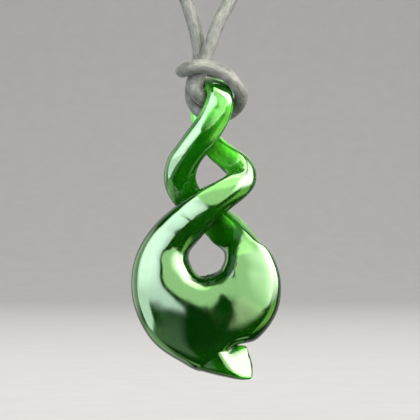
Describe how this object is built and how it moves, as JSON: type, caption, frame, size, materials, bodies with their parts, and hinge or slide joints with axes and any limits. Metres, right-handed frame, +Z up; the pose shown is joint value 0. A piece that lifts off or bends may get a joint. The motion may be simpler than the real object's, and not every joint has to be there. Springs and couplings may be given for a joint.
{
  "type": "jade double twist pendant",
  "caption": "Polished jade pendant: one strand twisted over itself above a round body with an eye and a notched tail, hitched on a grey neck cord with a barrel clasp.",
  "frame": {"origin": "where the clasp rests on the back of the wearer's neck, at the front of the clasp and halfway along it", "axes": "+Z up, -Y the way the wearer and the pendant's front face, +X to the right in the front view; the pendant hangs at Y = -0.104"},
  "size_m": [0.1204, 0.1155, 0.2505],
  "materials": {
    "jade": "polished",
    "cord": "matte",
    "clasp": "satin"
  },
  "bodies": {
    "root": {"pendant": "jade", "cord": "cord", "clasp": "clasp"}
  },
  "joints": []
}
